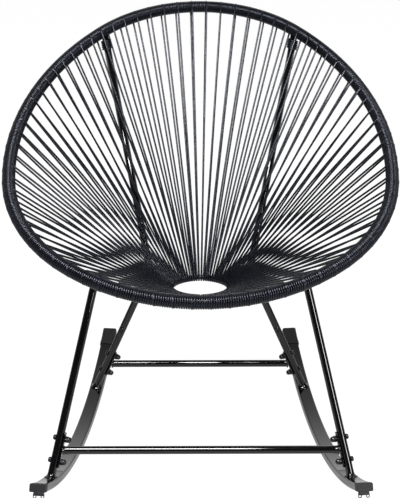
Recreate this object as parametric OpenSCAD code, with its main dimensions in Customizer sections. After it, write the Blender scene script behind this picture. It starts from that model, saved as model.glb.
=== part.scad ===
// Outdoor rocking chair: a sloping egg-shaped steel hoop wound with cord, a bucket of
// cords strung from the hoop down to a small ring, and a bolted tube frame on two
// curved runners. Millimetres, +Z up, the sitter faces -Y. The origin is on the floor,
// in the centre plane, under the lowest point of the runners.

/* [Seat hoop] */
// Height of the hoop's centreline at the front
hoop_front_h = 466.5; // [450:0.5:480]
// Slope of the hoop's plane from the floor, degrees
hoop_slope = 29.45; // [28:0.05:31]
// Radius of the front arc
hoop_r1 = 402; // [390:1:415]
// Heading at the end of the front arc, degrees
hoop_a1 = 38; // [36:0.5:40]
// Radius of the arcs at the widest place
hoop_r2 = 317; // [305:1:330]
// Heading at the end of the wide arcs, degrees
hoop_a2 = 83.3; // [80:0.1:86]
// Radius of the long side arcs
hoop_r3 = 575; // [550:1:600]
// Heading at the end of the side arcs, degrees
hoop_a3 = 133.8; // [131:0.1:137]
// Diameter of the hoop's steel tube
hoop_d = 18; // [16:0.5:20]
// Wall of every steel tube
wall = 1.5; // [1.2:0.1:2]

/* [Cords] */
// Diameter of the cord
cord_d = 4; // [3.4:0.1:4.2]
// Cord loops round one half of the hoop
half_count = 38; // [34:1:40]
// Radius of the ring at the bottom of the seat
ring_r = 64; // [60:1:70]
// Diameter of the ring's steel rod
ring_rod_d = 10; // [8:0.5:12]
// Height of the ring
ring_h = 354; // [345:1:362]
// Turns shown in the middle of the front winding
turns = 24; // [12:1:24]
// Pitch of the winding along the hoop
turn_pitch = 4.15; // [4.1:0.05:4.4]
// Diameter of the wound cord where its turns are shown
turn_d = 3.5; // [3.2:0.1:3.6]

/* [Runners] */
// Radius of the runner's underside
runner_r = 810; // [760:5:860]
// Width of the runner
runner_w = 30; // [26:1:34]
// Height of the runner's section
runner_t = 15; // [13:0.5:18]
// Half the distance between the runners at the middle
runner_x = 262; // [250:1:275]
// How far the runners spread towards the front, degrees
runner_toe = 6.4; // [4:0.1:8]
// Reach of the runner to the front
runner_front = 366; // [350:1:375]
// Reach of the runner to the back
runner_back = 375; // [350:1:380]

/* [Frame] */
// Diameter of the legs, the back bars and the crossbars
tube_d = 16; // [14:0.5:18]
// Distance of the front feet in front of the middle
front_foot_y = 263; // [255:1:270]
// Lean of the front legs towards the middle plane, mm over the leg's rise
front_lean_in = 74.9; // [65:1:85]
// Lean of the front legs to the back, mm over the leg's rise
front_lean_back = 143; // [133:1:150]
// Rise over which the front legs' leans are taken
front_rise = 314; // [305:1:325]
// Height of the corner of the front leg under the seat
front_bend_h = 426; // [416:1:430]
// Distance of the rear feet behind the middle
rear_foot_y = 190; // [184:1:196]
// Elbow of the back bar, distance from the middle plane
elbow_x = 112; // [106:1:118]
// Elbow of the back bar, distance behind the middle
elbow_y = 175; // [170:1:180]
// Elbow of the back bar, height
elbow_h = 330; // [322:1:336]
// Height where the back bar enters the rear leg
joint_h = 190; // [180:1:200]
// Bend radius of the front tubes
front_bend_r = 32; // [26:1:38]
// Bend radius of the back bars
back_bend_r = 60; // [50:1:65]
// Drop of the front arm's last run below the hoop
arm_drop = 72; // [70:1:80]
// Distance of that run's lower end behind its upper end
arm_back = 73; // [69:1:77]
// Distance of that run's lower end towards the middle plane
arm_in = 61; // [57:1:65]
// Height of the front crossbar's joint on the leg's middle line
front_bar_h = 109; // [104:1:120]
// Height of the rear crossbar's joint on the leg's middle line
rear_bar_h = 100; // [94:1:106]

/* [Fittings] */
// Distance between the two bolts of a crossbar plate
bolt_gap = 44; // [38:1:48]
// Diameter of the bolts
bolt_d = 6; // [5:0.5:7]
// Thickness of the crossbar plates
plate_t = 3; // [2:0.5:4]
// Length of the front crossbar plates
front_plate_len = 70; // [64:1:76]
// Length of the rear crossbar plates
rear_plate_len = 62; // [58:1:68]
// Length of a front end cap along the runner
front_cap_len = 14; // [10:1:20]
// Length of a rear end cap along the runner
rear_cap_len = 48; // [40:1:55]

/* [Hidden] */
$fn = 48;
fit = 0.1;
hair = 0.003;

STEEL = [0.06, 0.06, 0.065];
CORD = [0.09, 0.09, 0.1];
PLASTIC = [0.14, 0.14, 0.15];

// Vector helpers
function unit(v) = v / norm(v);

// Hoop outline: four arcs a side that meet at a common tangent. The last radius closes
// the outline in the middle plane.
rad = PI / 180;
hoop_r4 = (hoop_r1 * sin(hoop_a1) + hoop_r2 * (sin(hoop_a2) - sin(hoop_a1))
  + hoop_r3 * (sin(hoop_a3) - sin(hoop_a2))) / sin(hoop_a3);
HR = [hoop_r1, hoop_r2, hoop_r3, hoop_r4];
HA = [0, hoop_a1, hoop_a2, hoop_a3, 180];
HL = [for (i = [0:3]) HR[i] * (HA[i + 1] - HA[i]) * rad];
function hoop_start(i) = i == 0 ? 0 : hoop_start(i - 1) + HL[i - 1];
function hoop_center(i) = i == 0 ? [0, HR[0]]
  : hoop_center(i - 1) + (HR[i - 1] - HR[i]) * [sin(HA[i]), -cos(HA[i])];
half_len = hoop_start(4);
hoop_len = hoop_center(3)[1] + HR[3];
function hoop_arc(s) = s < hoop_start(1) ? 0 : s < hoop_start(2) ? 1 : s < hoop_start(3) ? 2 : 3;
function hoop_angle(s) = HA[hoop_arc(s)] + (s - hoop_start(hoop_arc(s))) / HR[hoop_arc(s)] / rad;
function hoop_flat(s) = hoop_center(hoop_arc(s))
  + HR[hoop_arc(s)] * [sin(hoop_angle(s)), -cos(hoop_angle(s))];
hoop_y0 = -hoop_len * cos(hoop_slope) / 2;
function lift(p, n = 0) = [p[0],
  hoop_y0 + p[1] * cos(hoop_slope) - n * sin(hoop_slope),
  hoop_front_h + p[1] * sin(hoop_slope) + n * cos(hoop_slope)];
wrap_r = hoop_d / 2 + cord_d;
ring_wrap_r = ring_rod_d / 2 + cord_d;

module on_hoop() {
  translate([0, hoop_y0, hoop_front_h]) rotate([hoop_slope, 0, 0]) children();
}

// One arc of the hoop on the right-hand side, with a round section
module hoop_piece(i, ro, ri, a0, a1) {
  c = hoop_center(i);
  translate([c[0], c[1], 0]) rotate([0, 0, a0 - 90])
    rotate_extrude(angle = a1 - a0, $fn = 240) translate([HR[i], 0]) difference() {
      circle(r = ro, $fn = 48);
      if (ri > 0) circle(r = ri, $fn = 48);
    }
}

// The bends of the hoop's tube meet at butt joints, a hair's breadth apart
module hoop_tube() color(STEEL) on_hoop() {
  hoop_piece(0, hoop_d / 2, hoop_d / 2 - wall, -hoop_a1 + hair, hoop_a1 - hair);
  hoop_piece(3, hoop_d / 2, hoop_d / 2 - wall, hoop_a3 + hair, 360 - hoop_a3 - hair);
  for (m = [0, 1]) mirror([m, 0, 0]) for (i = [1, 2])
    hoop_piece(i, hoop_d / 2, hoop_d / 2 - wall, HA[i] + hair, HA[i + 1] - hair);
}

// The winding lies on the tube as a sleeve; the middle of the front shows its turns
turns_len = turns * turn_pitch;
turns_half_a = (turns_len / 2 + turn_d) / HR[0] / rad;
wrap_in = hoop_d / 2 + fit;
module hoop_wrap_front() color(CORD) on_hoop() {
  hoop_piece(0, wrap_r, wrap_in, turns_half_a, hoop_a1 - hair);
  hoop_piece(0, wrap_r, wrap_in, -hoop_a1 + hair, -turns_half_a);
}
module hoop_wrap_side() color(CORD) on_hoop() {
  hoop_piece(1, wrap_r, wrap_in, hoop_a1 + hair, hoop_a2 - hair);
  hoop_piece(2, wrap_r, wrap_in, hoop_a2 + hair, hoop_a3 - hair);
}
module hoop_wrap_top() color(CORD) on_hoop()
  hoop_piece(3, wrap_r, wrap_in, hoop_a3 + hair, 360 - hoop_a3 - hair);

// The shown turns: one unbroken cord that runs round the tube along the front arc
turn_rings = 16;
turn_sides = 6;
turn_r = hoop_d / 2 + turn_d / 2 + fit;
function turn_point(t) = let (
  a = (t - 0.5) * turns_len / HR[0] / rad,
  w = 360 * turns * t,
  e = [sin(a), -cos(a), 0])
  [0, HR[0], 0] + HR[0] * e + turn_r * (cos(w) * e + sin(w) * [0, 0, 1]);
module hoop_winding() {
  n = turns * turn_rings;
  pts = [for (i = [0:n]) turn_point(i / n)];
  dirs = [for (i = [0:n]) unit(turn_point((i + 0.02) / n) - turn_point((i - 0.02) / n))];
  outs = [for (i = [0:n]) let (
    a = (i / n - 0.5) * turns_len / HR[0] / rad,
    w = 360 * turns * i / n)
    cos(w) * [sin(a), -cos(a), 0] + sin(w) * [0, 0, 1]];
  rings = [for (i = [0:n]) let (u = outs[i], v = unit(cross(dirs[i], u)))
    for (j = [0:turn_sides - 1])
      pts[i] + turn_d / 2 * (cos(360 * j / turn_sides) * u + sin(360 * j / turn_sides) * v)];
  m = turn_sides;
  faces = concat(
    [for (i = [0:n - 1], j = [0:m - 1]) let (k = (j + 1) % m)
      [i * m + j, (i + 1) * m + j, (i + 1) * m + k]],
    [for (i = [0:n - 1], j = [0:m - 1]) let (k = (j + 1) % m)
      [i * m + j, (i + 1) * m + k, i * m + k]],
    [for (j = [1:m - 2]) [0, j, j + 1]],
    [for (j = [1:m - 2]) [n * m, n * m + j + 1, n * m + j]]);
  color(CORD) on_hoop() polyhedron(points = rings, faces = [for (f = faces) [f[0], f[2], f[1]]]);
}
// Least gap of the shown cord to itself, a turn apart
turn_gap = min([for (i = [0:23]) for (j = [-2:2])
  norm(turn_point((i / 24 + 5) / turns) - turn_point((i / 24 + 6 + j / 48) / turns))]) - turn_d;
echo(winding_least_gap_to_itself_mm = turn_gap);

module ring_rod() color(STEEL) translate([0, 0, ring_h])
  rotate_extrude($fn = 120) translate([ring_r, 0]) circle(d = ring_rod_d, $fn = 36);
module ring_wrap() color(CORD) translate([0, 0, ring_h])
  rotate_extrude($fn = 120) translate([ring_r, 0]) difference() {
    circle(r = ring_wrap_r, $fn = 36);
    circle(r = ring_rod_d / 2 + fit, $fn = 36);
  }

// Each cord comes off the hoop, runs down to the ring over its top, round it and back
// underneath: one straight run in the upper layer and one in the lower layer.
pitch = half_len / half_count;
hoop_trim = 13.5;
ring_trim = 10.5;
module rod(a, b, d, di = 0) {
  v = b - a;
  l = norm(v);
  translate(a) rotate([0, acos(v[2] / l), atan2(v[1], v[0])]) difference() {
    cylinder(d = d, h = l, $fn = 24);
    if (di > 0) translate([0, 0, -1]) cylinder(d = di, h = l + 2, $fn = 24);
  }
}
module cord_run(k, up) {
  p = lift(hoop_flat(half_len - (k + 0.5) * pitch));
  q = [ring_r * sin((k + 0.5) * 180 / half_count), ring_r * cos((k + 0.5) * 180 / half_count),
    ring_h];
  d = unit(q - p);
  n = up * unit([0, 0, 1] - d[2] * d);
  a = p + n * (hoop_d + cord_d) / 2;
  b = q + n * (ring_rod_d + cord_d) / 2;
  e = unit(b - a);
  rod(a + e * hoop_trim, b - e * ring_trim, cord_d);
}
function part_start(i) = floor(half_count * i / 4);
module cords(side, part, up) color(CORD) mirror([side == "left" ? 1 : 0, 0, 0])
  for (k = [part_start(part):part_start(part + 1) - 1]) cord_run(k, up);

// Round tube along a path of corner points, d outside and di inside. Straight run i and
// bend i are drawn one by one, 0.01 apart, so each keeps its own true surface.
function way(pts, i) = unit(pts[i + 1] - pts[i]);
function turn(pts, i) = i == 0 || i == len(pts) - 1 ? 0 : acos(way(pts, i - 1) * way(pts, i));
function cut(pts, i, r) = r * tan(turn(pts, i) / 2);
module run(pts, i, r, d, di) rod(pts[i] + way(pts, i) * (cut(pts, i, r) + 0.01),
  pts[i + 1] - way(pts, i) * (cut(pts, i + 1, r) + 0.01), d, di);
module bend(pts, i, r, d, di) {
  o = pts[i] + unit(way(pts, i) - way(pts, i - 1)) * r / cos(turn(pts, i) / 2);
  ex = unit(pts[i] - way(pts, i - 1) * cut(pts, i, r) - o);
  ey = way(pts, i - 1);
  ez = cross(ex, ey);
  multmatrix([[ex[0], ey[0], ez[0], o[0]], [ex[1], ey[1], ez[1], o[1]],
    [ex[2], ey[2], ez[2], o[2]], [0, 0, 0, 1]])
    rotate_extrude(angle = turn(pts, i), $fn = 144) translate([r, 0]) difference() {
      circle(d = d, $fn = 24);
      circle(d = di, $fn = 24);
    }
}

// Runner frame: x across the runner, the arc's centre at the origin
module on_runner() {
  translate([runner_x, 0, runner_r]) rotate([0, 0, runner_toe]) children();
}
toe = tan(runner_toe);
function runner_at(y) = runner_x - toe * y;
function top_z(y) = runner_r - sqrt(pow(runner_r - runner_t, 2) - pow(y / cos(runner_toe), 2));
front_a = asin(runner_front / cos(runner_toe) / runner_r);
back_a = asin(runner_back / cos(runner_toe) / runner_r);
module soft_rect(x0, x1, w, c) {
  translate([x0, -w / 2 + c]) square([x1 - x0, w - 2 * c]);
  translate([x0 + c, -w / 2]) square([x1 - x0 - 2 * c, w]);
  for (x = [x0 + c, x1 - c], y = [-w / 2 + c, w / 2 - c]) translate([x, y]) circle(r = c, $fn = 24);
}
// A length of the runner's section, from angle a0 to a1, measured to the back
module sweep(a0, a1, grow, in) rotate([0, 0, 90]) rotate([90, 0, 0])
  rotate([0, 0, -90 + a0]) rotate_extrude(angle = a1 - a0, $fn = 720) difference() {
    soft_rect(runner_r - runner_t - grow, runner_r + grow, runner_w + 2 * grow, 3 + grow);
    if (in > 0) soft_rect(runner_r - runner_t + in, runner_r - in, runner_w - 2 * in, 1.5);
  }
module runner() color(STEEL) on_runner() sweep(-front_a, back_a, 0, wall);

// Legs
front_foot = [runner_at(-front_foot_y), -front_foot_y, top_z(-front_foot_y)];
front_dir = unit([-front_lean_in, front_lean_back, front_rise]);
front_knee = front_foot + front_dir * (front_bend_h - front_foot[2]) / front_dir[2];
strut_s = 8 * pitch;
strut_top = lift(hoop_flat(strut_s));
strut_knee = strut_top + [-arm_in, arm_back, -arm_drop];
FRONT = [front_foot - front_dir * 4, front_knee, strut_knee, strut_top];
rear_foot = [runner_at(rear_foot_y), rear_foot_y, top_z(rear_foot_y)];
elbow = [elbow_x, elbow_y, elbow_h];
rear_dir = unit(elbow - rear_foot);
rear_joint = rear_foot + rear_dir * (joint_h - rear_foot[2]) / rear_dir[2];
bar_top = lift(hoop_flat(half_len - 7 * pitch), -4.5);
inner_d = tube_d - 2 * wall;

// Takes away what lies in or under the runner, so that a foot sits on its top
module above_runner() difference() {
  children();
  on_runner() rotate([0, 90, 0]) difference() {
    cylinder(r = runner_r + 60, h = 160, center = true, $fn = 720);
    cylinder(r = runner_r - runner_t - fit, h = 162, center = true, $fn = 720);
  }
}
// Takes away the wound hoop near a joint on it
module clear_of_hoop(i, s, span) difference() {
  children();
  on_hoop() hoop_piece(i, wrap_r + fit, 0, hoop_angle(s) - span, hoop_angle(s) + span);
}
module foot_flare(foot, dir) {
  translate(foot - dir * 5) rotate([0, acos(dir[2]), atan2(dir[1], dir[0])]) difference() {
    cylinder(r1 = tube_d / 2 + 5, r2 = tube_d / 2 - 0.5, h = 16, $fn = 36);
    translate([0, 0, -1]) cylinder(d = inner_d, h = 20, $fn = 24);
  }
}

// Frame of a crossbar joint on a leg: z along the leg, x towards the middle plane
module on_leg(p, dir) {
  ex = unit([-1, 0, 0] + dir[0] * dir);
  ey = cross(dir, ex);
  multmatrix([[ex[0], ey[0], dir[0], p[0]], [ex[1], ey[1], dir[1], p[1]],
    [ex[2], ey[2], dir[2], p[2]], [0, 0, 0, 1]]) children();
}
front_bar_p = front_foot + front_dir * (front_bar_h - front_foot[2]) / front_dir[2];
rear_bar_p = rear_foot + rear_dir * (rear_bar_h - rear_foot[2]) / rear_dir[2];
module bolt_holes(p, dir) on_leg(p, dir) for (z = [-1, 1])
  translate([-30, 0, z * bolt_gap / 2]) rotate([0, 90, 0])
    cylinder(d = bolt_d + 0.4, h = 60, $fn = 24);

module front_leg() color(STEEL) difference() {
  above_runner() {
    run(FRONT, 0, front_bend_r, tube_d, inner_d);
    foot_flare(front_foot, front_dir);
  }
  bolt_holes(front_bar_p, front_dir);
}
// The leg's arm turns forward under the seat and rises to the hoop between two cords
module front_arm() color(STEEL) {
  bend(FRONT, 1, front_bend_r, tube_d, inner_d);
  run(FRONT, 1, front_bend_r, tube_d, inner_d);
  bend(FRONT, 2, front_bend_r, tube_d, inner_d);
  clear_of_hoop(0, strut_s, 5) run(FRONT, 2, front_bend_r, tube_d, inner_d);
}
module rear_leg() color(STEEL) difference() {
  above_runner() union() {
    rod(rear_foot - rear_dir * 4, rear_joint, tube_d, inner_d);
    foot_flare(rear_foot, rear_dir);
  }
  bolt_holes(rear_bar_p, rear_dir);
  translate(rear_joint - rear_dir * 10) rotate([90, 0, 0]) cylinder(d = 4.2, h = 30, $fn = 24);
}
// The back bar ends in a narrower spigot that slides into the rear leg
spigot_d = inner_d - 0.4;
BACK = [rear_joint + rear_dir * 0.5, elbow, bar_top];
module back_bar() color(STEEL) {
  run(BACK, 0, back_bend_r, tube_d, inner_d);
  bend(BACK, 1, back_bend_r, tube_d, inner_d);
  clear_of_hoop(3, half_len - 7 * pitch, 6) run(BACK, 1, back_bend_r, tube_d, inner_d);
  difference() {
    union() {
      rod(rear_joint - rear_dir * 34, rear_joint + rear_dir * 2, spigot_d, spigot_d - 2 * wall);
      rod(rear_joint + rear_dir * 1, rear_joint + rear_dir * 12, inner_d + 0.6,
        spigot_d - 2 * wall);
    }
    translate(rear_joint - rear_dir * 10) rotate([90, 0, 0]) cylinder(d = 4.2, h = 30, $fn = 24);
  }
}
module leg_screw() color(STEEL) translate(rear_joint - rear_dir * 10) rotate([90, 0, 0])
  difference() {
    union() {
      cylinder(d = 4, h = tube_d / 2 + 0.5, $fn = 24);
      translate([0, 0, tube_d / 2 + 0.2]) cylinder(d1 = 7.5, d2 = 5, h = 2, $fn = 24);
    }
    translate([0, 0, tube_d / 2 + 1.2]) cylinder(d = 2.6, h = 2, $fn = 6);
  }

// Cord bound round the end of a bar where it meets the hoop
module joint_wrap(top, dir) color(CORD) difference() {
  rod(top + dir * (wrap_r + 1.5), top + dir * (wrap_r + 21), tube_d + 6);
  rod(top, top + dir * 60, tube_d + 2 * fit);
}

// Middle of the plate beside a joint: a crossbar is welded there
function plate_middle(p, dir) =
  p + unit([-1, 0, 0] + dir[0] * dir) * (tube_d / 2 + fit + plate_t / 2);
function other_side(p) = [-p[0], p[1], p[2]];
module crossbar(p, dir) color(STEEL) difference() {
  rod(other_side(plate_middle(p, dir)), plate_middle(p, dir), tube_d, inner_d);
  for (m = [0, 1]) mirror([m, 0, 0]) on_leg(p, dir)
    translate([-40, -40, -60]) cube([40 + tube_d / 2 + plate_t + 2 * fit, 80, 120]);
}
module cross_plate(p, dir, len) color(STEEL) on_leg(p, dir) difference() {
  translate([tube_d / 2 + fit, -tube_d / 2, -len / 2]) cube([plate_t, tube_d, len]);
  for (z = [-1, 1]) translate([0, 0, z * bolt_gap / 2]) rotate([0, 90, 0])
    cylinder(d = bolt_d + 0.4, h = 30, $fn = 24);
}
module bolt_at(z) translate([0, 0, z]) rotate([0, 90, 0]) {
  translate([0, 0, -tube_d / 2 - 1]) cylinder(d = bolt_d, h = tube_d + plate_t + 7, $fn = 24);
  difference() {
    intersection() {
      translate([0, 0, -tube_d / 2 - 5]) cylinder(d = 10.5, h = 4.8, $fn = 32);
      translate([0, 0, -tube_d / 2 + 2.6]) sphere(r = 8, $fn = 48);
    }
    translate([0, 0, -tube_d / 2 - 6]) cylinder(d = 4.6, h = 3, $fn = 6);
  }
}
module nut_at(z) translate([0, 0, z]) rotate([0, 90, 0])
  translate([0, 0, tube_d / 2 + plate_t + 2 * fit]) difference() {
    union() {
      cylinder(d = 12.6, h = 5, $fn = 6);
      cylinder(d = 10.4, h = 8, $fn = 32);
      translate([0, 0, 7.4]) sphere(d = 9.6, $fn = 32);
    }
    translate([0, 0, -1]) cylinder(d = bolt_d + 0.2, h = 9, $fn = 24);
  }
module crossbar_bolts() color(STEEL) for (m = [0, 1]) mirror([m, 0, 0]) for (z = [-1, 1]) {
  on_leg(front_bar_p, front_dir) bolt_at(z * bolt_gap / 2);
  on_leg(rear_bar_p, rear_dir) bolt_at(z * bolt_gap / 2);
}
module crossbar_nuts() color(PLASTIC) for (m = [0, 1]) mirror([m, 0, 0]) for (z = [-1, 1]) {
  on_leg(front_bar_p, front_dir) nut_at(z * bolt_gap / 2);
  on_leg(rear_bar_p, rear_dir) nut_at(z * bolt_gap / 2);
}

// End caps: a plastic sleeve with a closed end. The front ones have a stop with two
// stub feet under the tip.
cap_t = 1.2;
function cap_a(l) = l / runner_r / rad;
module front_cap() color(PLASTIC) on_runner() {
  difference() {
    sweep(-front_a - cap_a(3), -front_a + cap_a(front_cap_len), cap_t, 0);
    sweep(-front_a - cap_a(0.2), -front_a + cap_a(front_cap_len + 4), fit, 0);
  }
  difference() {
    rotate([-front_a, 0, 0]) translate([0, 0, -runner_r]) {
      translate([-13, -2.5, -cap_t - 7]) cube([21, 10, 7.2 + cap_t / 2]);
      for (x = [-11, 6]) translate([x, 2.5, -cap_t - 10]) {
        cylinder(d = 7, h = 6, $fn = 24);
        sphere(d = 7, $fn = 24);
      }
    }
    sweep(-front_a - cap_a(8), -front_a + cap_a(front_cap_len + 4), fit, 0);
  }
}
module rear_cap() color(PLASTIC) on_runner() difference() {
  sweep(back_a - cap_a(rear_cap_len), back_a + cap_a(3), cap_t, 0);
  sweep(back_a - cap_a(rear_cap_len + 4), back_a + cap_a(0.2), fit, 0);
}

module back_joint_wrap() joint_wrap(bar_top, unit(elbow - bar_top));
module front_joint_wrap() joint_wrap(strut_top, unit(strut_knee - strut_top));
module front_plate() cross_plate(front_bar_p, front_dir, front_plate_len);
module rear_plate() cross_plate(rear_bar_p, rear_dir, rear_plate_len);
module front_crossbar() crossbar(front_bar_p, front_dir);
module rear_crossbar() crossbar(rear_bar_p, rear_dir);
module leg_screws() for (s = ["left", "right"]) sided(s) leg_screw();
module sided(side) mirror([side == "left" ? 1 : 0, 0, 0]) children();

hoop_tube();
hoop_wrap_front();
sided("left") hoop_wrap_side();  // hoop_wrap_left
sided("right") hoop_wrap_side();  // hoop_wrap_right
hoop_wrap_top();
hoop_winding();
ring_rod();
ring_wrap();
cords("left", 0, 1);  // upper_cords_back_left
cords("left", 1, 1);  // upper_cords_rearside_left
cords("left", 2, 1);  // upper_cords_foreside_left
cords("left", 3, 1);  // upper_cords_front_left
cords("right", 0, 1);  // upper_cords_back_right
cords("right", 1, 1);  // upper_cords_rearside_right
cords("right", 2, 1);  // upper_cords_foreside_right
cords("right", 3, 1);  // upper_cords_front_right
cords("left", 0, -1);  // lower_cords_back_left
cords("left", 1, -1);  // lower_cords_rearside_left
cords("left", 2, -1);  // lower_cords_foreside_left
cords("left", 3, -1);  // lower_cords_front_left
cords("right", 0, -1);  // lower_cords_back_right
cords("right", 1, -1);  // lower_cords_rearside_right
cords("right", 2, -1);  // lower_cords_foreside_right
cords("right", 3, -1);  // lower_cords_front_right
sided("left") back_bar();  // back_bar_left
sided("right") back_bar();  // back_bar_right
sided("left") rear_leg();  // rear_leg_left
sided("right") rear_leg();  // rear_leg_right
sided("left") front_leg();  // front_leg_left
sided("right") front_leg();  // front_leg_right
sided("left") front_arm();  // front_arm_left
sided("right") front_arm();  // front_arm_right
sided("left") back_joint_wrap();  // back_joint_wrap_left
sided("right") back_joint_wrap();  // back_joint_wrap_right
sided("left") front_joint_wrap();  // front_joint_wrap_left
sided("right") front_joint_wrap();  // front_joint_wrap_right
sided("left") runner();  // runner_left
sided("right") runner();  // runner_right
sided("left") front_plate();  // front_plate_left
sided("right") front_plate();  // front_plate_right
sided("left") rear_plate();  // rear_plate_left
sided("right") rear_plate();  // rear_plate_right
sided("left") front_cap();  // front_cap_left
sided("right") front_cap();  // front_cap_right
sided("left") rear_cap();  // rear_cap_left
sided("right") rear_cap();  // rear_cap_right
front_crossbar();
rear_crossbar();
crossbar_bolts();
crossbar_nuts();
leg_screws();
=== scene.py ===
import math

import bmesh
import bpy
from mathutils import Matrix, Vector


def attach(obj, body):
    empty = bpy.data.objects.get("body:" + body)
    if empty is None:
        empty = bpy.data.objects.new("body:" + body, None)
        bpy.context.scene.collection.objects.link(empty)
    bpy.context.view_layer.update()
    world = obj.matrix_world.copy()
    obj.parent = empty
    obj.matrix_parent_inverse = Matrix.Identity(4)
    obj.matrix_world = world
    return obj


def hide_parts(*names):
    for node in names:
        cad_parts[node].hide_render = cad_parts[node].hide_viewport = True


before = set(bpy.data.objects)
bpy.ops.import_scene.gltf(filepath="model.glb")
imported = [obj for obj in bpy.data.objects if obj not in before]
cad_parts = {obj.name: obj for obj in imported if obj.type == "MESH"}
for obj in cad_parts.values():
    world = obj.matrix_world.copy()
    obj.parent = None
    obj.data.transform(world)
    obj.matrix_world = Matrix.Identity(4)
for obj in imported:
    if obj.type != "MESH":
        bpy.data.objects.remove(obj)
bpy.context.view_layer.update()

# Camera: a long lens a little above the hoop's top edge, a third of a degree to the left
# of the chair's front and tilted down by 18.7 degrees.
camera = bpy.data.objects.new("camera", bpy.data.cameras.new("camera"))
camera.data.lens = 81.99
camera.data.sensor_width = 36
camera.location = (-0.0122, -2.2093, 1.1873)
camera.rotation_euler = (math.radians(90 - 18.72), 0, math.radians(-0.3))
bpy.context.collection.objects.link(camera)
bpy.context.scene.camera = camera
bpy.context.scene.view_settings.view_transform = "Standard"


def linear(code):
    """Shader colour of an sRGB hex code."""
    parts = [int(code[i:i + 2], 16) / 255 for i in (0, 2, 4)]
    return (*(c / 12.92 if c < 0.04045 else ((c + 0.055) / 1.055) ** 2.4 for c in parts), 1)


def add_node(tree, kind, settings=None, **links):
    """Adds a node, sets its attributes and sockets, and links sockets by name."""
    node = tree.nodes.new(kind)
    for name, value in (settings or {}).items():
        if name in node.inputs:
            node.inputs[name].default_value = value
        else:
            setattr(node, name, value)
    for name, source in links.items():
        spot = name.replace("_", " ")
        target = node.inputs[int(spot[3:])] if spot.startswith("in ") else node.inputs[spot]
        tree.links.new(source, target)
    return node


# Studio: a white background, a pale floor and three lamps in front. The camera sees
# background and floor as white. Glossy paint mirrors a white backdrop low behind the
# chair, a grey floor, and darker sides, ceiling and front, as in a tented studio.
room = bpy.data.worlds.new("studio")
bpy.context.scene.world = room
room.use_nodes = True
tree = room.node_tree
tree.nodes.clear()
path = add_node(tree, "ShaderNodeLightPath")
spot = add_node(tree, "ShaderNodeTexCoord")
axes = add_node(tree, "ShaderNodeSeparateXYZ", Vector=spot.outputs["Generated"])
behind = add_node(tree, "ShaderNodeMapRange",
                  {"interpolation_type": "SMOOTHSTEP", "From Min": 0.0, "From Max": 0.6},
                  Value=axes.outputs["Y"])
below = add_node(tree, "ShaderNodeMapRange",
                 {"interpolation_type": "SMOOTHSTEP", "From Min": 0.4, "From Max": 0.8,
                  "To Min": 1.0, "To Max": 0.5}, Value=axes.outputs["Z"])
backdrop = add_node(tree, "ShaderNodeMath", {"operation": "MULTIPLY"},
                    in_0=behind.outputs[0], in_1=below.outputs[0])
level = add_node(tree, "ShaderNodeMapRange", {"To Min": 0.05, "To Max": 1.0},
                 Value=backdrop.outputs[0])
around = add_node(tree, "ShaderNodeBackground", {"Color": linear("ffffff")},
                  Strength=level.outputs[0])
seen = add_node(tree, "ShaderNodeBackground", {"Color": linear("ffffff"), "Strength": 1.0})
mixed = add_node(tree, "ShaderNodeMixShader", in_0=path.outputs["Is Camera Ray"],
                 in_1=around.outputs[0], in_2=seen.outputs[0])
add_node(tree, "ShaderNodeOutputWorld", Surface=mixed.outputs[0])

bm = bmesh.new()
bmesh.ops.create_grid(bm, x_segments=1, y_segments=1, size=30)
floor_mesh = bpy.data.meshes.new("floor")
bm.to_mesh(floor_mesh)
bm.free()
floor = bpy.data.objects.new("floor", floor_mesh)
bpy.context.collection.objects.link(floor)
pale_floor = bpy.data.materials.new("pale floor")
pale_floor.use_nodes = True
tree = pale_floor.node_tree
tree.nodes.clear()
path = add_node(tree, "ShaderNodeLightPath")
pale_or_grey = add_node(tree, "ShaderNodeMapRange", {"To Min": 0.9, "To Max": 0.35},
                        Value=path.outputs["Is Glossy Ray"])
matt = add_node(tree, "ShaderNodeBsdfDiffuse", Color=pale_or_grey.outputs[0])
white = add_node(tree, "ShaderNodeEmission",
                 {"Color": linear("ffffff"), "Strength": 1.07})
clear = add_node(tree, "ShaderNodeMath", {"operation": "ADD", "use_clamp": True},
                 in_0=path.outputs["Is Camera Ray"],
                 in_1=path.outputs["Is Transmission Ray"])
spot = add_node(tree, "ShaderNodeTexCoord")
axes = add_node(tree, "ShaderNodeSeparateXYZ", Vector=spot.outputs["Object"])
aside = add_node(tree, "ShaderNodeMath", {"operation": "ABSOLUTE"}, in_0=axes.outputs["X"])
paper = add_node(tree, "ShaderNodeMapRange",
                 {"interpolation_type": "SMOOTHSTEP", "From Min": 0.4, "From Max": 0.9,
                  "To Min": 0.45, "To Max": 0.1}, Value=aside.outputs[0])
mirrored = add_node(tree, "ShaderNodeMath", {"operation": "MULTIPLY"},
                    in_0=path.outputs["Is Glossy Ray"], in_1=paper.outputs[0])
sight = add_node(tree, "ShaderNodeMath", {"operation": "ADD", "use_clamp": True},
                 in_0=clear.outputs[0], in_1=mirrored.outputs[0])
share = add_node(tree, "ShaderNodeMath", {"operation": "MULTIPLY"}, in_0=sight.outputs[0])
share.inputs[1].default_value = 0.9  # the other tenth takes the chair's shadow
mixed = add_node(tree, "ShaderNodeMixShader", in_0=share.outputs[0],
                 in_1=matt.outputs[0], in_2=white.outputs[0])
add_node(tree, "ShaderNodeOutputMaterial", Surface=mixed.outputs[0])
floor_mesh.materials.append(pale_floor)

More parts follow.
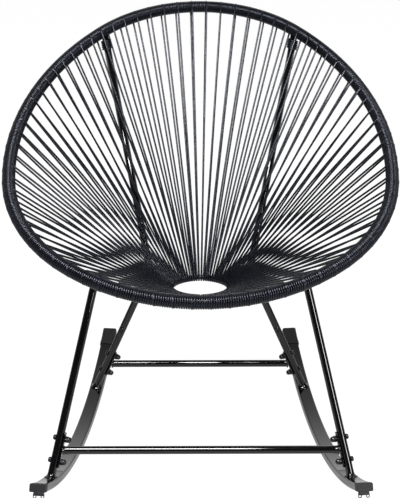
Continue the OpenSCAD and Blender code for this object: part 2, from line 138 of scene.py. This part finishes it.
for name, place, aim, across, along, power in (
        ("front strip light", (-0.45, -2.3, 3.5), (0, 0, 0.45), 1.6, 0.34, 95),
        ("top light", (-0.45, -1.45, 3.1), (0, -0.3, 0.4), 1.6, 0.4, 125),
        ("right softbox", (1.9, -2.3, 1.5), (0.2, -0.2, 0.3), 0.5, 1.3, 60)):
    lamp = bpy.data.lights.new(name, "AREA")
    lamp.shape = "RECTANGLE"
    lamp.size = across
    lamp.size_y = along
    lamp.energy = power
    lamp_object = bpy.data.objects.new(name, lamp)
    lamp_object.location = place
    beam = Vector(aim) - Vector(place)
    lamp_object.rotation_euler = beam.to_track_quat("-Z", "Y").to_euler()
    lamp_object.visible_camera = False
    bpy.context.collection.objects.link(lamp_object)


# Hoop: an egg-shaped ring of 18 mm steel tube, bent from four arcs a side, that slopes up
# to the back. The whole tube is wound with 4 mm cord, so only its shape shows.
SLOPE = math.radians(29.45)
HOOP_ARCS = ((0.402, 0, 38), (0.317, 38, 83.3), (0.575, 83.3, 133.8),
             (0.292487, 133.8, 180))  # radius, and where each starts and ends in degrees
HALF_HOOP = 1.259892  # length of the tube's middle line, front to back
FRONT_OF_HOOP = (0, -0.371454, 0.4665)
hoop_plane = Matrix.Translation(FRONT_OF_HOOP) @ Matrix.Rotation(SLOPE, 4, "X")


def on_hoop(s):
    """Place, outward side and upper side of the hoop, s along it from the front."""
    s = (s + HALF_HOOP) % (2 * HALF_HOOP) - HALF_HOOP
    side = -1 if s < 0 else 1
    left = abs(s)
    last = HOOP_ARCS[0][0]
    centre = Vector((0, last, 0))
    for radius, start, end in HOOP_ARCS:
        a = math.radians(start)
        centre += (last - radius) * Vector((math.sin(a), -math.cos(a), 0))
        last = radius
        length = radius * math.radians(end - start)
        if left <= length + 1e-6:
            break
        left -= length
    a += left / radius
    outward = Vector((math.sin(a), -math.cos(a), 0))
    flat = centre + radius * outward
    for v in (outward, flat):
        v.x *= side
    turn = hoop_plane.to_3x3()
    return hoop_plane @ flat, turn @ outward, turn @ Vector((0, 0, 1))


# Extruded PE cord, satin black: a smooth skin with a soft highlight on each turn, a little
# uneven in tone and shine over some 45 mm, as cord is from length to length, and a faint
# grain 1 mm across. The highlight is slightly blue.
def new_finish(name, settings):
    """A material, its tree, its shader with those settings, and its coordinates."""
    finish = bpy.data.materials.new(name)
    finish.use_nodes = True
    tree = finish.node_tree
    shader = tree.nodes["Principled BSDF"]
    for socket, value in settings.items():
        shader.inputs[socket].default_value = value
    return finish, tree, shader, add_node(tree, "ShaderNodeTexCoord")


black_cord, tree, skin, spot = new_finish("black PE cord", {
    "IOR": 1.5, "Specular IOR Level": 0.36, "Specular Tint": linear("eef1ff")})
patches = add_node(tree, "ShaderNodeTexNoise", {"Scale": 22.0, "Detail": 3.0},
                   Vector=spot.outputs["Object"])
tone = add_node(tree, "ShaderNodeValToRGB", Fac=patches.outputs["Fac"])
tone.color_ramp.elements[0].position = 0.35
tone.color_ramp.elements[0].color = linear("040509")
tone.color_ramp.elements[1].position = 0.65
tone.color_ramp.elements[1].color = linear("0a0c13")
sheen = add_node(tree, "ShaderNodeMapRange", {"To Min": 0.22, "To Max": 0.32},
                 Value=patches.outputs["Fac"])
grain = add_node(tree, "ShaderNodeTexNoise", {"Scale": 900.0, "Detail": 2.0},
                 Vector=spot.outputs["Object"])
bump = add_node(tree, "ShaderNodeBump", {"Strength": 0.05, "Distance": 0.0003},
                Height=grain.outputs["Fac"])
tree.links.new(tone.outputs["Color"], skin.inputs["Base Color"])
tree.links.new(sheen.outputs[0], skin.inputs["Roughness"])
tree.links.new(bump.outputs["Normal"], skin.inputs["Normal"])

# Winding of the hoop: one cord in 608 close turns, eight to each place where a seat cord
# comes off. Drawn in four lengths like the CAD sleeves that it stands for.
CORD_R = 0.002
TURNS = 608
LAY_R = 0.011  # from the hoop's middle line to the cord's
TURN_STEPS = 16
PER_LENGTH = TURNS * TURN_STEPS / (2 * HALF_HOOP)
ARC_ENDS = [0]
for radius, start, end in HOOP_ARCS:
    ARC_ENDS.append(ARC_ENDS[-1] + radius * math.radians(end - start))


def cord_mesh(name, runs, sides, closed=False):
    """One mesh of cord along runs of points."""
    line = bpy.data.curves.new(name, "CURVE")
    line.dimensions = "3D"
    line.bevel_depth = CORD_R
    line.bevel_resolution = (sides - 4) // 2
    line.use_fill_caps = not closed
    for points in runs:
        spline = line.splines.new("POLY")
        spline.points.add(len(points) - 1)
        for knot, p in zip(spline.points, points):
            knot.co = (*p, 1)
        spline.use_cyclic_u = closed
    drawn = bpy.data.objects.new(name, line)
    bpy.context.collection.objects.link(drawn)
    bpy.context.view_layer.update()
    mesh = bpy.data.meshes.new_from_object(
        drawn.evaluated_get(bpy.context.evaluated_depsgraph_get()))
    bpy.data.objects.remove(drawn)
    mesh.name = name
    mesh.materials.clear()
    mesh.shade_smooth()
    return mesh


def add_piece(mesh, material, slot, *nodes):
    """Puts a finished mesh in the scene as a piece that stands for CAD nodes."""
    mesh.materials.append(material)
    piece = bpy.data.objects.new(mesh.name, mesh)
    bpy.context.collection.objects.link(piece)
    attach(piece, "root")
    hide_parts(*nodes)
    return piece


for name, s0, s1, nodes in (
        ("hoop_winding_front", -ARC_ENDS[1], ARC_ENDS[1],
         ("hoop_wrap_front", "hoop_winding")),
        ("hoop_winding_right", ARC_ENDS[1], ARC_ENDS[3], ("hoop_wrap_right",)),
        ("hoop_winding_top", ARC_ENDS[3], 2 * HALF_HOOP - ARC_ENDS[3], ("hoop_wrap_top",)),
        ("hoop_winding_left", -ARC_ENDS[3], -ARC_ENDS[1], ("hoop_wrap_left",))):
    points = []
    for i in range(math.floor(s0 * PER_LENGTH), math.ceil(s1 * PER_LENGTH) + 1):
        place, outward, upper = on_hoop(i / PER_LENGTH)
        w = 2 * math.pi * i / TURN_STEPS
        points.append(place + LAY_R * (math.cos(w) * outward + math.sin(w) * upper))
    add_piece(cord_mesh(name, [points], 10), black_cord, "cord", *nodes)

# Seat: 76 cord loops, 38 a side from the back to the front. Each comes off the top of the
# hoop's winding, runs down to the ring, round the ring's inner side, back underneath, and
# up round the outside of the hoop.
LOOPS = 38
RING_R = 0.064
RING_H = 0.354
PITCH = HALF_HOOP / LOOPS
ABOVE_HOOP = 0.0129  # the upper run lies on the winding
UNDER_HOOP = 0.0116  # the lower run sinks in between its turns
OFF_RING = 0.0072
LOWER_SHIFT = 0.0027  # along the hoop, from the hindmost loop's upper run to its lower
SHIFTED = 24  # the shift fades away over these loops
RUN_STEPS = 20
TURN_ROUND = 8


def seat_loop(k, side):
    """Middle line of loop k of one side, counted from the back."""
    s = side * (HALF_HOOP - (k + 0.5) * PITCH)
    angle = side * (k + 0.5) * math.pi / LOOPS
    place = on_hoop(s)[0]
    low = on_hoop(s + LOWER_SHIFT * max(0, 1 - k / SHIFTED))[0]
    goal = Vector((RING_R * math.sin(angle), RING_R * math.cos(angle), RING_H))
    run = (goal - place).normalized()
    over = (Vector((0, 0, 1)) - run.z * run).normalized()
    points = [place + over * ABOVE_HOOP]
    for i in range(1, RUN_STEPS):
        t = i / RUN_STEPS
        points.append((place + over * ABOVE_HOOP) * (1 - t) + (goal + over * OFF_RING) * t)
    for i in range(TURN_ROUND + 1):
        a = math.pi * i / TURN_ROUND
        points.append(goal + OFF_RING * (math.cos(a) * over + math.sin(a) * run))
    for i in range(1, RUN_STEPS):
        t = i / RUN_STEPS
        points.append((goal - over * OFF_RING) * (1 - t) + (low - over * UNDER_HOOP) * t)
    for i in range(TURN_ROUND):
        a = math.pi * i / TURN_ROUND
        t = i / TURN_ROUND
        lay = UNDER_HOOP + (ABOVE_HOOP - UNDER_HOOP) * max(0, 4 * t - 3)
        points.append(low * (1 - t) + place * t
                      - lay * (math.cos(a) * over + math.sin(a) * run))
    return points


for side, word in ((-1, "left"), (1, "right")):
    for i, part in enumerate(("back", "rearside", "foreside", "front")):
        loops = [seat_loop(k, side) for k in range(LOOPS * i // 4, LOOPS * (i + 1) // 4)]
        stands_for = [f"upper_cords_{part}_{word}", f"lower_cords_{part}_{word}"]
        if part == "back":
            stands_for.append("ring_wrap")
        add_piece(cord_mesh(f"seat_cords_{part}_{word}", loops, 10, closed=True),
                  black_cord, "cord", *stands_for)


# Frame paint: gloss black powder coat, sprayed and baked on the steel. Black with sharp
# white streaks, a fine orange peel about 1.5 mm across, and a shine that is slightly
# uneven over some 30 mm. The hoop's tube and the ring's rod keep their CAD form.
gloss_paint, tree, skin, spot = new_finish("gloss black powder coat", {
    "Base Color": linear("050506"), "IOR": 1.5, "Coat Weight": 0.1,
    "Coat Roughness": 0.02})
peel = add_node(tree, "ShaderNodeTexNoise", {"Scale": 650.0, "Detail": 1.0},
                Vector=spot.outputs["Object"])
bump = add_node(tree, "ShaderNodeBump", {"Strength": 0.014, "Distance": 0.0002},
                Height=peel.outputs["Fac"])
cloud = add_node(tree, "ShaderNodeTexNoise", {"Scale": 30.0, "Detail": 4.0},
                 Vector=spot.outputs["Object"])
shine = add_node(tree, "ShaderNodeMapRange", {"To Min": 0.03, "To Max": 0.09},
                 Value=cloud.outputs["Fac"])
tree.links.new(shine.outputs[0], skin.inputs["Roughness"])
tree.links.new(bump.outputs["Normal"], skin.inputs["Normal"])


def paint_node(node, material):
    """Gives a carried-over CAD node its finish."""
    solid = bpy.data.objects[node]
    solid.data.materials.clear()
    solid.data.materials.append(material)


for node in ("hoop_tube", "ring_rod"):
    paint_node(node, gloss_paint)


def draw_tube(bm, stops, sides=32):
    """Draws a round section through stops of (place, heading, radius), with closed ends."""
    place, heading, radius = stops[0]
    upright = Vector((0, 0, 1)).rotation_difference(heading).to_matrix().to_4x4()
    ring = bmesh.ops.create_circle(bm, cap_ends=False, segments=sides, radius=radius,
                                   matrix=Matrix.Translation(place) @ upright)["verts"]
    edges = list({e for v in ring for e in v.link_edges})
    ends = [edges]
    for new_place, new_heading, new_radius in stops[1:]:
        made = bmesh.ops.extrude_edge_only(bm, edges=edges)["geom"]
        ring = [g for g in made if isinstance(g, bmesh.types.BMVert)]
        edges = [g for g in made if isinstance(g, bmesh.types.BMEdge)
                 and all(v in ring for v in g.verts)]
        turn = (Matrix.Translation(new_place)
                @ heading.rotation_difference(new_heading).to_matrix().to_4x4()
                @ Matrix.Scale(new_radius / radius, 4) @ Matrix.Translation(-place))
        bmesh.ops.transform(bm, matrix=turn, verts=ring)
        place, heading, radius = new_place, new_heading, new_radius
    ends.append(edges)
    for edges in ends:
        bmesh.ops.holes_fill(bm, edges=edges, sides=0)


def bent_path(corners, bend_r, steps=16):
    """Places and headings of a tube bent to bend_r at each corner between its ends."""
    ways = [(b - a).normalized() for a, b in zip(corners, corners[1:])]
    stops = [(corners[0], ways[0])]
    for corner, way_in, way_out in zip(corners[1:-1], ways, ways[1:]):
        angle = way_in.angle(way_out)
        axis = way_in.cross(way_out).normalized()
        begin = corner - way_in * bend_r * math.tan(angle / 2)
        centre = begin + axis.cross(way_in) * bend_r
        for i in range(steps + 1):
            turn = Matrix.Rotation(angle * i / steps, 3, axis)
            stops.append((centre + turn @ (begin - centre), turn @ way_in))
    stops.append((corners[-1], ways[-1]))
    return stops


def smooth_mesh(bm, name):
    """Turns a finished bmesh into a smooth mesh."""
    mesh = bpy.data.meshes.new(name)
    bm.to_mesh(mesh)
    bm.free()
    mesh.shade_smooth()
    return mesh


def mirrored_pieces(make, name, material, slot, *nodes, finish=None):
    """Makes a right-hand piece and its left-hand mirror. Node names end in the side."""
    for word in ("right", "left"):
        bm = bmesh.new()
        make(bm)
        if word == "left":
            bmesh.ops.scale(bm, vec=(-1, 1, 1), verts=bm.verts)
        bmesh.ops.recalc_face_normals(bm, faces=bm.faces)
        piece = add_piece(smooth_mesh(bm, f"{name}_{word}"), material, slot,
                          *[f"{n}_{word}" for n in nodes])
        if finish:
            finish(piece)


def even_shading(piece):
    """Keeps flat faces flat between their rounded edges."""
    piece.modifiers.new("even shading", "WEIGHTED_NORMAL").keep_sharp = True


# Runners: two lengths of 30 by 15 mm steel box tube with rounded corners, rolled to an
# arc of 810 mm and painted. They spread a little towards the front.
RUNNER_R = 0.810
RUNNER_T = 0.015
RUNNER_W = 0.030
RUNNER_CORNER = 0.003
RUNNER_X = 0.262
TOE = math.radians(6.4)
FRONT_END = math.asin(0.366 / math.cos(TOE) / RUNNER_R)  # 366 mm before the middle
BACK_END = math.asin(0.375 / math.cos(TOE) / RUNNER_R)
runner_place = Matrix.Translation((RUNNER_X, 0, 0)) @ Matrix.Rotation(TOE, 4, "Z")
runner_centre = Vector((0, 0, RUNNER_R))


def runner_length(bm, from_angle, to_angle, grow, corner, steps):
    """Sweeps the runner's section round its centre and closes its far end.

    grow stands the section off the tube's skin. Returns the faces of both ends.
    """
    section = bmesh.ops.create_grid(bm, x_segments=1, y_segments=1, size=0.5)["verts"]
    bmesh.ops.scale(bm, vec=(RUNNER_W + 2 * grow, RUNNER_T + 2 * grow, 1), verts=section)
    bmesh.ops.bevel(bm, geom=section, offset=corner, offset_type="OFFSET", segments=5,
                    profile=0.5, affect="VERTICES", material=-1)
    bmesh.ops.rotate(bm, cent=(0, 0, 0), matrix=Matrix.Rotation(math.pi / 2, 3, "X"),
                     verts=bm.verts)
    bmesh.ops.translate(bm, vec=(0, 0, RUNNER_T / 2), verts=bm.verts)
    bmesh.ops.rotate(bm, cent=runner_centre, matrix=Matrix.Rotation(from_angle, 3, "X"),
                     verts=bm.verts)
    first = list(bm.faces)
    rim = list(bm.edges)
    last = bmesh.ops.spin(bm, geom=rim, cent=runner_centre, axis=(1, 0, 0),
                          angle=to_angle - from_angle, steps=steps, use_merge=False,
                          use_duplicate=False)["geom_last"]
    last_rim = [g for g in last if isinstance(g, bmesh.types.BMEdge)]
    end = bmesh.ops.holes_fill(bm, edges=last_rim, sides=0)["faces"]
    return first, end


def make_runner(bm):
    runner_length(bm, -FRONT_END, BACK_END, 0, RUNNER_CORNER, 96)
    bmesh.ops.transform(bm, matrix=runner_place, verts=bm.verts)


mirrored_pieces(make_runner, "rocker", gloss_paint, "frame_paint", "runner",
                finish=even_shading)


def runner_top(y):
    """Place on the middle of the runner's top face, y from the chair's middle."""
    drop = math.sqrt((RUNNER_R - RUNNER_T) ** 2 - (y / math.cos(TOE)) ** 2)
    return Vector((RUNNER_X - math.tan(TOE) * y, y, RUNNER_R - drop))


# Front tubes: a leg and an arm in one length of 16 mm tube. The foot is flared and welded
# to the runner; the tube turns forward under the seat and rises to the hoop.
TUBE_R = 0.008
FRONT_BEND = 0.032
front_foot = runner_top(-0.263)
front_way = Vector((-0.0749, 0.143, 0.314)).normalized()


def at_height(foot, way, z):
    """Place on a leg's middle line, z above the floor."""
    return foot + way * (z - foot.z) / way.z


front_knee = at_height(front_foot, front_way, 0.426)
arm_top = on_hoop(8 * PITCH)[0]
arm_knee = arm_top + Vector((-0.061, 0.073, -0.072))


def flared_foot(foot, way):
    """Stops of a tube end flared out on the runner's top face by its weld."""
    up = Vector((0, -foot.y, RUNNER_R - foot.z)).normalized()
    up = Vector((up.y * -math.sin(TOE), up.y, up.z)).normalized()
    return [(foot + way * (h / way.dot(up)), up.lerp(way, share).normalized(), r)
            for h, share, r in (
                (-0.0006, 0, 0.0124), (0.0003, 0, 0.0132), (0.0010, 0, 0.0132),
                (0.0016, 0, 0.0122), (0.0024, 0.2, 0.0102), (0.0036, 0.5, 0.0090),
                (0.0052, 0.8, 0.0083), (0.0070, 1, TUBE_R), (0.0100, 1, TUBE_R))]


def make_front_tube(bm):
    path = bent_path([front_foot + front_way * 0.02, front_knee, arm_knee, arm_top],
                     FRONT_BEND)
    draw_tube(bm, flared_foot(front_foot, front_way) + [(p, w, TUBE_R) for p, w in path])


mirrored_pieces(make_front_tube, "front_tube", gloss_paint, "frame_paint",
                "front_leg", "front_arm")

# Rear posts and back bars: the bar slides into the post's open end, where a set screw
# holds it. It leans in, bends behind the seat and rises to the top of the hoop.
BACK_BEND = 0.060
rear_foot = runner_top(0.190)
elbow = Vector((0.112, 0.175, 0.330))
rear_way = (elbow - rear_foot).normalized()
rear_joint = at_height(rear_foot, rear_way, 0.190)
bar_place, _, bar_upper = on_hoop(31 * PITCH)
bar_top = bar_place - bar_upper * 0.0045
RIM = 0.0006  # the rounded edge of a cut tube end
INSET_R = 0.0062  # the bar's end inside the post


def make_rear_post(bm):
    draw_tube(bm, flared_foot(rear_foot, rear_way) + [
        (rear_joint - rear_way * 0.0030, rear_way, TUBE_R),
        (rear_joint - rear_way * 0.0008, rear_way, TUBE_R),
        (rear_joint, rear_way, TUBE_R - RIM), (rear_joint, rear_way, 0.0066)])


def make_back_bar(bm):
    path = bent_path([rear_joint + rear_way * 0.0030, elbow, bar_top], BACK_BEND)
    end = [(rear_joint - rear_way * 0.0040, rear_way, INSET_R),
           (rear_joint + rear_way * 0.0003, rear_way, INSET_R),
           (rear_joint + rear_way * 0.0004, rear_way, TUBE_R - RIM),
           (rear_joint + rear_way * 0.0010, rear_way, TUBE_R)]
    draw_tube(bm, end + [(p, w, TUBE_R) for p, w in path])


mirrored_pieces(make_rear_post, "rear_post", gloss_paint, "frame_paint", "rear_leg")
mirrored_pieces(make_back_bar, "back_tube", gloss_paint, "frame_paint", "back_bar")


# Bindings: five close turns of the seat's cord, wound by hand round each tube end, hide
# its weld to the hoop.
BOUND_TURNS = 5
BOUND_PITCH = 0.0041
BOUND_START = 0.0165  # below the hoop's middle line


def bound_end(name, top, way, node):
    """Winds cord round both tubes whose right-hand one ends at top and goes down way."""
    out = way.orthogonal().normalized()
    across = way.cross(out)
    for side, word in ((1, "right"), (-1, "left")):
        points = []
        for i in range(BOUND_TURNS * TURN_STEPS + 1):
            a = 2 * math.pi * i / TURN_STEPS
            p = (top + way * (BOUND_START + BOUND_PITCH * i / TURN_STEPS)
                 + (TUBE_R + CORD_R) * (math.cos(a) * out + math.sin(a) * across))
            points.append(Vector((p.x * side, p.y, p.z)))
        add_piece(cord_mesh(f"{name}_{word}", [points], 8), black_cord, "cord",
                  f"{node}_{word}")


bound_end("front_binding", arm_top, (arm_knee - arm_top).normalized(), "front_joint_wrap")
bound_end("back_binding", bar_top, (elbow - bar_top).normalized(), "back_joint_wrap")


# Crossbars: two lengths of the same tube, welded to flat plates that are bolted to the
# inner sides of the legs.
def on_leg(place, way):
    """Frame on a leg: z up the leg, x towards the middle plane."""
    x = (Vector((-1, 0, 0)) + way * way.x).normalized()
    y = way.cross(x)
    return Matrix.Translation(place) @ Matrix((x, y, way)).transposed().to_4x4()


front_joint = on_leg(at_height(front_foot, front_way, 0.109), front_way)
rear_bar_joint = on_leg(at_height(rear_foot, rear_way, 0.100), rear_way)
PLATE_T = 0.003
PLATE_X = TUBE_R + 0.0001  # from a leg's middle line to the plate's near face


def add_crossbar(name, joint, node):
    """Tube between two plates, with a weld bead at each end."""
    bm = bmesh.new()
    weld = joint @ Vector((PLATE_X + PLATE_T / 2, 0, 0))
    reach = (joint @ Vector((PLATE_X + PLATE_T, 0, 0))).x
    way = Vector((1, 0, 0))
    middle = Vector((0, weld.y, weld.z))
    weld_bead = ((0, 0.0102), (0.0012, 0.0100), (0.0030, 0.0085), (0.0045, TUBE_R),
                 (0.0080, TUBE_R))  # distance from the plate, and radius
    stops = [(x - reach, r) for x, r in weld_bead] + [(0, TUBE_R)]
    stops += [(reach - x, r) for x, r in reversed(weld_bead)]
    draw_tube(bm, [(middle + way * x, way, r) for x, r in stops])
    bmesh.ops.recalc_face_normals(bm, faces=bm.faces)
    add_piece(smooth_mesh(bm, name), gloss_paint, "frame_paint", node)


add_crossbar("front_rail", front_joint, "front_crossbar")
add_crossbar("rear_rail", rear_bar_joint, "rear_crossbar")


def plate_maker(joint, length):
    """Flat steel plate as wide as the tube, cut with round corners and welded to it."""
    def make_plate(bm):
        bmesh.ops.create_cube(bm, size=1)
        bmesh.ops.scale(bm, vec=(PLATE_T, 2 * TUBE_R, length), verts=bm.verts)
        corners = [e for e in bm.edges
                   if abs(e.verts[0].co.x - e.verts[1].co.x) > PLATE_T / 2]
        bmesh.ops.bevel(bm, geom=corners, offset=0.004, offset_type="OFFSET", segments=4,
                        profile=0.5, affect="EDGES", material=-1)
        bmesh.ops.bevel(bm, geom=bm.edges[:], offset=0.0004, offset_type="OFFSET",
                        segments=2, profile=0.5, affect="EDGES", material=-1)
        bmesh.ops.translate(bm, vec=(PLATE_X + PLATE_T / 2, 0, 0), verts=bm.verts)
        bmesh.ops.transform(bm, matrix=joint, verts=bm.verts)
    return make_plate


mirrored_pieces(plate_maker(front_joint, 0.070), "front_lug", gloss_paint, "frame_paint",
                "front_plate", finish=even_shading)
mirrored_pieces(plate_maker(rear_bar_joint, 0.062), "rear_lug", gloss_paint, "frame_paint",
                "rear_plate", finish=even_shading)

# Bolts: M6 button-head bolts with a socket, turned steel with black oxide: a dark, slightly
# grey satin metal with a turned grain of about 1.3 mm. Each goes through leg and plate
# into a dome nut. The set screws in the rear posts keep their CAD form.
black_steel, tree, skin, spot = new_finish("black oxide steel", {
    "Base Color": linear("1a1a1c"), "Metallic": 0.6})
turned = add_node(tree, "ShaderNodeTexNoise", {"Scale": 800.0, "Detail": 2.0},
                  Vector=spot.outputs["Object"])
shine = add_node(tree, "ShaderNodeMapRange", {"To Min": 0.22, "To Max": 0.42},
                 Value=turned.outputs["Fac"])
tree.links.new(shine.outputs[0], skin.inputs["Roughness"])
BOLT_GAP = 0.044


def merge_into(bm, part):
    """Moves a finished part's mesh into bm."""
    loose = bpy.data.meshes.new("part")
    part.to_mesh(loose)
    part.free()
    bm.from_mesh(loose)
    bpy.data.meshes.remove(loose)


def lathe(bm, profile, steps=28):
    """Spins a profile of (x, radius) round the x axis."""
    part = bmesh.new()
    verts = [part.verts.new((x, 0, r)) for x, r in profile]
    edges = [part.edges.new(pair) for pair in zip(verts, verts[1:])]
    bmesh.ops.spin(part, geom=verts + edges, cent=(0, 0, 0), axis=(1, 0, 0),
                   angle=2 * math.pi, steps=steps, use_merge=True, use_duplicate=False)
    bmesh.ops.remove_doubles(part, verts=part.verts, dist=1e-6)
    merge_into(bm, part)


def add_fasteners(name, material, slot, node, draw):
    """One piece of eight like fasteners: two on each leg, on both sides of the chair."""
    bm = bmesh.new()
    for side in (1, -1):
        for joint in (front_joint, rear_bar_joint):
            for z in (BOLT_GAP / 2, -BOLT_GAP / 2):
                part = bmesh.new()
                draw(part)
                bmesh.ops.translate(part, vec=(0, 0, z), verts=part.verts)
                bmesh.ops.transform(part, matrix=joint, verts=part.verts)
                bmesh.ops.scale(part, vec=(side, 1, 1), verts=part.verts)
                bmesh.ops.recalc_face_normals(part, faces=part.faces)
                merge_into(bm, part)
    even_shading(add_piece(smooth_mesh(bm, name), material, slot, node))


def draw_bolt(bm):
    """Button head with its socket on the leg's outer side, and the shank."""
    head = ((0.0022, 0), (0.0022, 0.0021), (0.0046, 0.0023), (0.0050, 0.0027),
            (0.0048, 0.0036), (0.0038, 0.0047), (0.0022, 0.00525), (0.0006, 0.00535),
            (0.0002, 0.0052), (-0.0005, 0.0050), (-0.0005, 0.003))
    lathe(bm, [(-TUBE_R - h, r) for h, r in head]
          + [(TUBE_R + 0.004, 0.003), (TUBE_R + 0.004, 0)])


add_fasteners("button_bolts", black_steel, "bolt_steel", "crossbar_bolts", draw_bolt)
paint_node("leg_screws", black_steel)

# Nuts: M6 dome nuts on the plates' inner sides, pressed steel plated with gloss black
# nickel. Small bright glints, duller where they are worn, in spots about 2 mm across.
gloss_black, tree, skin, spot = new_finish("gloss black nickel", {
    "Base Color": linear("0e0e10"), "IOR": 1.5})
worn = add_node(tree, "ShaderNodeTexNoise", {"Scale": 500.0, "Detail": 2.0},
                Vector=spot.outputs["Object"])
shine = add_node(tree, "ShaderNodeMapRange", {"To Min": 0.08, "To Max": 0.24},
                 Value=worn.outputs["Fac"])
tree.links.new(shine.outputs[0], skin.inputs["Roughness"])
HEX_R = 0.0070
HEX_H = 0.0050
DOME_R = 0.0056
DOME_H = 0.0050
SHOULDER = 0.0078  # where the nut's dome begins, from the plate


def draw_nut(bm):
    """Hexagon and dome on the plate's inner side."""
    x = PLATE_X + PLATE_T
    six = bmesh.new()
    bmesh.ops.create_cone(six, cap_ends=True, cap_tris=False, segments=6,
                          radius1=HEX_R, radius2=HEX_R, depth=HEX_H)
    bmesh.ops.bevel(six, geom=six.edges[:], offset=0.0005, offset_type="OFFSET", segments=2,
                    profile=0.5, affect="EDGES", material=-1)
    bmesh.ops.rotate(six, cent=(0, 0, 0), matrix=Matrix.Rotation(math.pi / 2, 3, "Y"),
                     verts=six.verts)
    bmesh.ops.translate(six, vec=(x + HEX_H / 2, 0, 0), verts=six.verts)
    merge_into(bm, six)
    dome = [(0.0040, 0), (0.0040, DOME_R), (0.0060, 0.0059), (SHOULDER, 0.0057)]
    dome += [(SHOULDER + DOME_H * math.sin(a), DOME_R * math.cos(a))
             for a in (i * math.pi / 14 for i in range(1, 7))]
    dome.append((SHOULDER + DOME_H, 0))
    lathe(bm, [(x + h, r) for h, r in dome])


add_fasteners("dome_nuts", gloss_black, "nut_cap", "crossbar_nuts", draw_nut)

# End caps: sleeves moulded in black PP and pushed over the runner ends, matt, with a fine
# grain (0.7 mm). The rear ones have a lip at the mouth; the front ones carry a stop block
# with two small feet, which keeps the chair from tipping forward.
cap_plastic, tree, skin, spot = new_finish("grained black PP", {
    "Base Color": linear("0f0f12"), "Roughness": 0.55, "Specular IOR Level": 0.35,
    "IOR": 1.49})
grain = add_node(tree, "ShaderNodeTexNoise", {"Scale": 1400.0, "Detail": 2.0},
                 Vector=spot.outputs["Object"])
bump = add_node(tree, "ShaderNodeBump", {"Strength": 0.25, "Distance": 0.0002},
                Height=grain.outputs["Fac"])
tree.links.new(bump.outputs["Normal"], skin.inputs["Normal"])
CAP_T = 0.0012  # wall of the rear sleeves
FRONT_CAP_T = 0.0005
CAP_END = 0.003 / RUNNER_R  # the closed end stands 3 mm past the tube, as an angle
LIP_T = 0.0007


def round_rims(bm, faces, offset):
    """Rounds the outlines of those faces that are still there."""
    rims = list({e for f in faces if f.is_valid for e in f.edges})
    bmesh.ops.bevel(bm, geom=rims, offset=offset, offset_type="OFFSET", segments=3,
                    profile=0.5, affect="EDGES", material=-1)


def make_rear_cap(bm):
    mouth, end = runner_length(bm, BACK_END - 0.048 / RUNNER_R, BACK_END + CAP_END,
                               CAP_T, RUNNER_CORNER + CAP_T, 14)
    round_rims(bm, end, 0.0015)
    round_rims(bm, mouth, 0.0005)
    lip = bmesh.new()
    for faces in runner_length(lip, BACK_END - 0.0485 / RUNNER_R,
                               BACK_END - 0.0365 / RUNNER_R, CAP_T + LIP_T, 0.0048, 4):
        round_rims(lip, faces, 0.0003)
    merge_into(bm, lip)
    bmesh.ops.transform(bm, matrix=runner_place, verts=bm.verts)


BLOCK_SIZE = (0.019, 0.010, 0.0070)
BLOCK_X = -0.0020
BLOCK_Y = 0.0025
FOOT_GAP = 0.015
FOOT_R = 0.0026  # each foot is a small loop of round bar, moulded with the block
FOOT_Z = -0.0090


def make_front_cap(bm):
    end, mouth = runner_length(bm, -FRONT_END - CAP_END, -FRONT_END + 0.014 / RUNNER_R,
                               FRONT_CAP_T, 0.0028, 5)
    round_rims(bm, end, 0.0010)
    round_rims(bm, mouth, 0.0004)
    block = bmesh.new()
    bmesh.ops.create_cube(block, size=1)
    bmesh.ops.scale(block, vec=BLOCK_SIZE, verts=block.verts)
    bmesh.ops.bevel(block, geom=block.edges[:], offset=0.0012, offset_type="OFFSET",
                    segments=3, profile=0.5, affect="EDGES", material=-1)
    bmesh.ops.translate(block, vec=(BLOCK_X, BLOCK_Y, -BLOCK_SIZE[2] / 2),
                        verts=block.verts)
    for x in (BLOCK_X - FOOT_GAP / 2, BLOCK_X + FOOT_GAP / 2):
        arch = [(Vector((x - FOOT_R * math.cos(a), BLOCK_Y, FOOT_Z - FOOT_R * math.sin(a))),
                 Vector((math.sin(a), 0, -math.cos(a))))
                for a in (math.pi * i / 12 for i in range(13))]
        root = Vector((0, 0, 0.006))
        path = [(arch[0][0] + root, arch[0][1]), *arch, (arch[-1][0] + root, arch[-1][1])]
        draw_tube(block, [(p, w, 0.0009) for p, w in path], sides=12)
    tip = (Matrix.Translation(runner_centre) @ Matrix.Rotation(-FRONT_END, 4, "X")
           @ Matrix.Translation((0, 0, -RUNNER_R)))
    bmesh.ops.transform(block, matrix=tip, verts=block.verts)
    merge_into(bm, block)
    bmesh.ops.transform(bm, matrix=runner_place, verts=bm.verts)


mirrored_pieces(make_rear_cap, "rear_end_cap", cap_plastic, "cap_plastic", "rear_cap",
                finish=even_shading)
mirrored_pieces(make_front_cap, "front_end_cap", cap_plastic, "cap_plastic", "front_cap",
                finish=even_shading)
